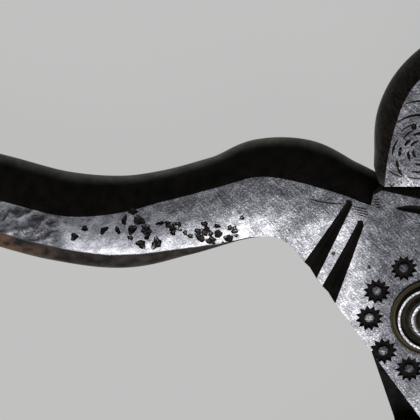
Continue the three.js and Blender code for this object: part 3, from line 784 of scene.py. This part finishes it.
# The pivot: a steel rivet through both laps, closed over a turned ring on each side. Its upper head is
# dished and its lower end is filed flat. Both rings have a thin outer lip and one raised bead, with a groove
# on either side of it.
def turned_piece(name, profile, steps=128):
    rings = []
    for i in range(steps):
        a = 2 * math.pi * i / steps
        rings.append([(r * math.cos(a), r * math.sin(a), z) for r, z in profile])
    count = len(profile)
    points = [p for ring in rings for p in ring]
    faces = []
    for i in range(steps):
        for k in range(count - 1 if profile[0][0] == 0 else count):
            a, b = i * count + k, i * count + (k + 1) % count
            c, d = (b + count) % len(points), (a + count) % len(points)
            faces.append([a, b, c, d])
    piece = solid(name, points, faces)
    shape = bmesh.new()
    shape.from_mesh(piece.data)
    bmesh.ops.remove_doubles(shape, verts=shape.verts, dist=0.0001)
    bmesh.ops.dissolve_degenerate(shape, edges=shape.edges, dist=0.0001)
    bmesh.ops.recalc_face_normals(shape, faces=shape.faces)
    shape.to_mesh(piece.data)
    shape.free()
    return piece


def finish_small(piece, place, material, body, node):
    piece.data.transform(Matrix.Scale(0.001, 4) @ place)
    piece.data.shade_smooth()
    piece.data.set_sharp_from_angle(angle=math.radians(32))
    wear_material(piece, material)
    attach(piece, body)
    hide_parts(node)


turned_steel, tree, shader = steel("turned_steel")
shader.inputs["Specular IOR Level"].default_value = 0.06
lie = placed(tree, relief, Upper_face=9.3, Lower_face=0.1)
texture = placed(tree, grain, Speckle_scale=4.0)
edge = placed(tree, wear_and_glint, Radius=0.00008)
bright = product(tree, band(tree, lie["Flat"], 0.75, 0.95), band(tree, lie["Depth"], 0.15, 0.04))
colour = tint(tree, texture["Speckle"], (0.1, 0.1, 0.105, 1), (0.5, 0.5, 0.53, 1))
grime = tint(tree, texture["Cloud"], (0.005, 0.0038, 0.0026, 1), (0.024, 0.019, 0.012, 1))
ochre = product(tree, band(tree, lie["Depth"], 0.48, 0.53), band(tree, lie["Flat"], 0.6, 0.9))
grime = tint(tree, ochre, grime, (0.062, 0.05, 0.031, 1))
tree.links.new(tint(tree, bright, grime, colour), shader.inputs["Base Color"])
tree.links.new(bright, shader.inputs["Metallic"])
tree.links.new(total(tree, 0.3, product(tree, texture["Cloud"], 0.2)), shader.inputs["Roughness"])
bumped(tree, shader, 0.5, 0.00002, texture["Speckle"], edge["Normal"])

rivet_profile = [(0, 0), (2.3, 0), (2.4, 0.03), (3.1, 0.5), (2.1, 0.5), (2.1, 8.9), (3.1, 8.9), (2.5, 9.33),
                 (2.42, 9.39), (2.3, 9.4), (2.14, 9.39), (2.02, 9.32), (1.8, 9.12), (1.4, 9.0), (0, 9.0)]
rivet = turned_piece("rivet", rivet_profile)
finish_small(rivet, Matrix.Identity(4), turned_steel, "under", "pivot_rivet")
ring_profile = [(2.4, 0.05), (4.9, 0.05), (4.9, 0.2), (4.84, 0.28), (4.74, 0.3), (4.66, 0.2), (4.5, 0.14),
                (4.3, 0.2), (4.18, 0.5), (4.12, 0.72), (4.02, 0.83), (3.88, 0.85), (3.74, 0.82), (3.64, 0.7),
                (3.58, 0.45), (3.4, 0.4), (2.4, 0.4)]
upper_place = Matrix.Translation((0, 0, upper_face))
lower_place = Matrix.Translation((0, 0, lower_face)) @ Matrix.Rotation(math.pi, 4, "X")
rings = (("upper_ring", "rosette_over", upper_place), ("lower_ring", "rosette_under", lower_place))
for name, node, place in rings:
    finish_small(turned_piece(name, ring_profile), place, turned_steel, "under", node)

# The leaf spring: a strip of tempered steel screwed to the inner side of the under handle. It crosses to
# the other handle, presses it open and slides along it as the handles close.
bearing_share = 0.72
leaf_steps = 240
bearing, run, outward, sizes = handle_at(bearing_share)
leaf_tip = bearing - outward * (sizes[0] + leaf_offset)
leaf_tip.rotate(Matrix.Rotation(-math.radians(open_angle), 2))
leaf_root = Vector((-foot_end, leaf_seat))
leaf_run = leaf_tip - leaf_root
leaf_shares = ((.3, .043), (.55, .18), (.71, .385), (.82, .61), (.9, .815))
leaf_points = [(-foot_start, leaf_seat), (-screw_reach, leaf_seat), tuple(leaf_root)]
leaf_points += [(leaf_root.x + leaf_run.x * a, leaf_root.y + leaf_run.y * b) for a, b in leaf_shares]
leaf_line = smooth_line(leaf_points + [tuple(leaf_tip)])
leaf_section = []
for cx, cy, start in ((0.3, 2.55, 0), (-0.3, 2.55, 90), (-0.3, -2.55, 180), (0.3, -2.55, 270)):
    for i in range(5):
        a = math.radians(start + 22.5 * i)
        leaf_section.append((cx + 0.25 * math.cos(a), cy + 0.25 * math.sin(a)))
leaf_rings = []
for i in range(leaf_steps + 1):
    t = i / leaf_steps
    x, y = leaf_line(t)
    back, on = leaf_line(max(0, t - 0.001)), leaf_line(min(1, t + 0.001))
    across = Vector((back[1] - on[1], on[0] - back[0])).normalized()
    leaf_rings.append([(x + across.x * a, y + across.y * a, b) for a, b in leaf_section])
leaf = loft("leaf", leaf_rings)
hole = disc("leaf_hole", screw_hole_radius, -5, 5, 48)
hole.data.transform(Matrix.Translation((-screw_reach, leaf_seat, 0)) @ Matrix.Rotation(math.pi / 2, 4, "X"))
work_on(leaf, hole)
under_place = Matrix.Translation((0, 0, mid_height)) @ Matrix.Rotation(math.radians(open_angle / 2), 4, "Z")
leaf.data.transform(Matrix.Scale(0.001, 4) @ under_place)
leaf.data.shade_smooth()
leaf.data.set_sharp_from_angle(angle=math.radians(32))

spring_steel, tree, shader = steel("spring_steel")
shader.inputs["Specular IOR Level"].default_value = 0.3
texture = placed(tree, grain, Speckle_scale=1.6, Streak_turn=-0.9)
edge = placed(tree, wear_and_glint, Radius=0.00012)
colour = tint(tree, texture["Cloud"], (0.02, 0.016, 0.013, 1), (0.085, 0.078, 0.07, 1))
# Edges lighter: partly wear, partly painted highlight.
colour = tint(tree, edge["Wear_and_glint"], colour, (0.3, 0.29, 0.28, 1))
tree.links.new(colour, shader.inputs["Base Color"])
tree.links.new(total(tree, 0.55, product(tree, texture["Speckle"], 0.4)), shader.inputs["Metallic"])
tree.links.new(total(tree, 0.34, product(tree, texture["Streak"], 0.2)), shader.inputs["Roughness"])
bumped(tree, shader, 0.5, 0.00002, texture["Streak"], edge["Normal"])
wear_material(leaf, spring_steel)
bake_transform(leaf)
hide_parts("leaf_spring")

# The spring's screw: a slotted screw of turned steel with a domed head. It goes through the foot of the leaf
# into a hole in the under handle's inner side, and clamps the leaf there.
dome = [(2.3 * math.cos(math.radians(9 * i)), 1.1 * math.sin(math.radians(9 * i))) for i in range(10)]
screw = turned_piece("screw", [(0, -6.5), (1.3, -6.5), (1.4, -6.4), (1.4, 0), (2.2, 0), *dome, (0, 1.1)], 64)
slot_tool = plate("slot_tool", [(-3, -0.28), (3, -0.28), (3, 0.28), (-3, 0.28)], 0.55, 3)
slot_tool.data.transform(Matrix.Rotation(math.radians(28), 4, "Z"))
work_on(screw, slot_tool)
screw_place = under_place @ Matrix.Translation((-screw_reach, leaf_seat + screw_seat, 0)) @ across_handle
finish_small(screw, screw_place, turned_steel, "under", "spring_screw")

# The catch: a loop of two flat steel links and a round bar, riveted through the end of the over handle.
# It swings on its pin and hooks over the end of the other handle to hold the tool shut.
loop_low, loop_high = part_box("catch_loop")
link_high = loop_high.z * 1000 - mid_height
link_thickness = 1.3
link_low = link_high - link_thickness
eye_radius = 2.9
bar_radius = 1.1
pin_middle = (Vector(pin_low) + Vector(pin_high)) * 500
loop_reach = (pin_middle.x - loop_low.x * 1000 - bar_radius) / math.cos(math.radians(open_angle / 2))
catch_place = Matrix.Translation(pin_middle) @ Matrix.Rotation(-math.radians(open_angle / 2), 4, "Z")


def link_outline(inset):
    lean = math.degrees(math.acos((eye_radius - bar_radius) / loop_reach))
    eye = [polar(eye_radius - inset, lean - 180 + (360 - 2 * lean) * i / 60) for i in range(61)]
    end = [polar(bar_radius - inset, 180 - lean + 2 * lean * i / 30) for i in range(31)]
    return eye + [(x - loop_reach, y) for x, y in end]


def catch_link(low, high):
    rings = []
    for height, inset in ((low, 0.17), (low + 0.05, 0.06), (low + 0.17, 0.01), (high - 0.17, 0.01),
                          (high - 0.05, 0.06), (high, 0.17)):
        rings.append([(x, y, height) for x, y in link_outline(inset)])
    return loft("link", rings)


loop = catch_link(link_low, link_high)
work_on(loop, catch_link(-link_high, -link_low), "UNION")
bar_end = link_high - 0.3
bar = disc("bar", bar_radius - 0.02, -bar_end, bar_end, 48)
bar.data.transform(Matrix.Translation((-loop_reach, 0, 0)))
work_on(loop, bar, "UNION")
work_on(loop, disc("eye_tool", pin_hole_radius, -overrun, overrun, 48))
loop.name = "catch"
finish_small(loop, catch_place, spring_steel, "catch", "catch_loop")
head_clearance = 0.3
head = link_high + head_clearance
head_line = [(1.2, 0), (2.1, 0), (2.04, 0.14), (1.86, 0.32), (1.5, 0.5), (1, 0.63), (0.5, 0.69), (0, 0.7)]
pin_line = [(r, -head - h) for r, h in reversed(head_line)] + [(r, head + h) for r, h in head_line]
catch_rivet = turned_piece("catch_rivet", pin_line, 64)
finish_small(catch_rivet, catch_place, turned_steel, "over", "catch_pin")

# The stage: a plain pale floor under the tool, soft boxes above it, and the camera close over the joint.
bpy.ops.mesh.primitive_plane_add(size=4, location=(0, 0, -0.0036))
floor = bpy.context.object
floor.name = "floor"
pale, tree, shader = steel("pale_floor")
paper = (0.537, 0.537, 0.533, 1)
shader.inputs["Base Color"].default_value = paper
shader.inputs["Roughness"].default_value = 0.9
shader.inputs["Specular IOR Level"].default_value = 0.1
ray = put(tree, "ShaderNodeLightPath")
seen = sums(tree, "MAXIMUM", ray.outputs["Is Camera Ray"], ray.outputs["Is Glossy Ray"])
seen = sums(tree, "MAXIMUM", seen, ray.outputs["Is Transmission Ray"])
glow = put(tree, "ShaderNodeEmission", {"Color": paper})
glow_share = product(tree, seen, 0.95)
lit = put(tree, "ShaderNodeMixShader", {0: glow_share, 1: shader.outputs[0], 2: glow.outputs[0]})
tree.links.new(lit.outputs[0], tree.nodes["Material Output"].inputs["Surface"])
wear_material(floor, pale)

world = bpy.data.worlds.new("studio")
world.use_nodes = True
world.node_tree.nodes["Background"].inputs["Color"].default_value = (0.5, 0.5, 0.5, 1)
world.node_tree.nodes["Background"].inputs["Strength"].default_value = 0.6
bpy.context.scene.world = world


def soft_box(name, direction, distance, size, power):
    light = bpy.data.lights.new(name, "AREA")
    light.shape = "DISK"
    light.size = size
    light.energy = power
    lamp = bpy.data.objects.new(name, light)
    bpy.context.scene.collection.objects.link(lamp)
    lamp.location = Vector(direction).normalized() * distance
    lamp.rotation_mode = "QUATERNION"
    lamp.rotation_quaternion = Vector(direction).to_track_quat("Z", "Y")


soft_box("over_box", (-0.3, -0.62, 0.8), 0.8, 0.9, 7.0)
soft_box("side_box", (-1, 0.6, 0.7), 0.9, 0.5, 0.3)

camera = bpy.data.objects.new("camera", bpy.data.cameras.new("camera"))
bpy.context.scene.collection.objects.link(camera)
bpy.context.scene.camera = camera
camera.data.sensor_width = 36
camera.data.lens = 218.6
camera.data.clip_start = 0.01
up = Vector((0.4266, 0.8373, -0.3420)).normalized()
back = Vector((0.1553, 0.3047, 0.9397)).normalized()
right = up.cross(back)
target = Vector((-0.01734, 0.02413, 0.00845))
turn = Matrix((right, up, back)).transposed().to_4x4()
stand_off = 0.3
camera.matrix_world = Matrix.Translation(target + back * stand_off) @ turn

scene = bpy.context.scene
scene.view_settings.view_transform = "Standard"
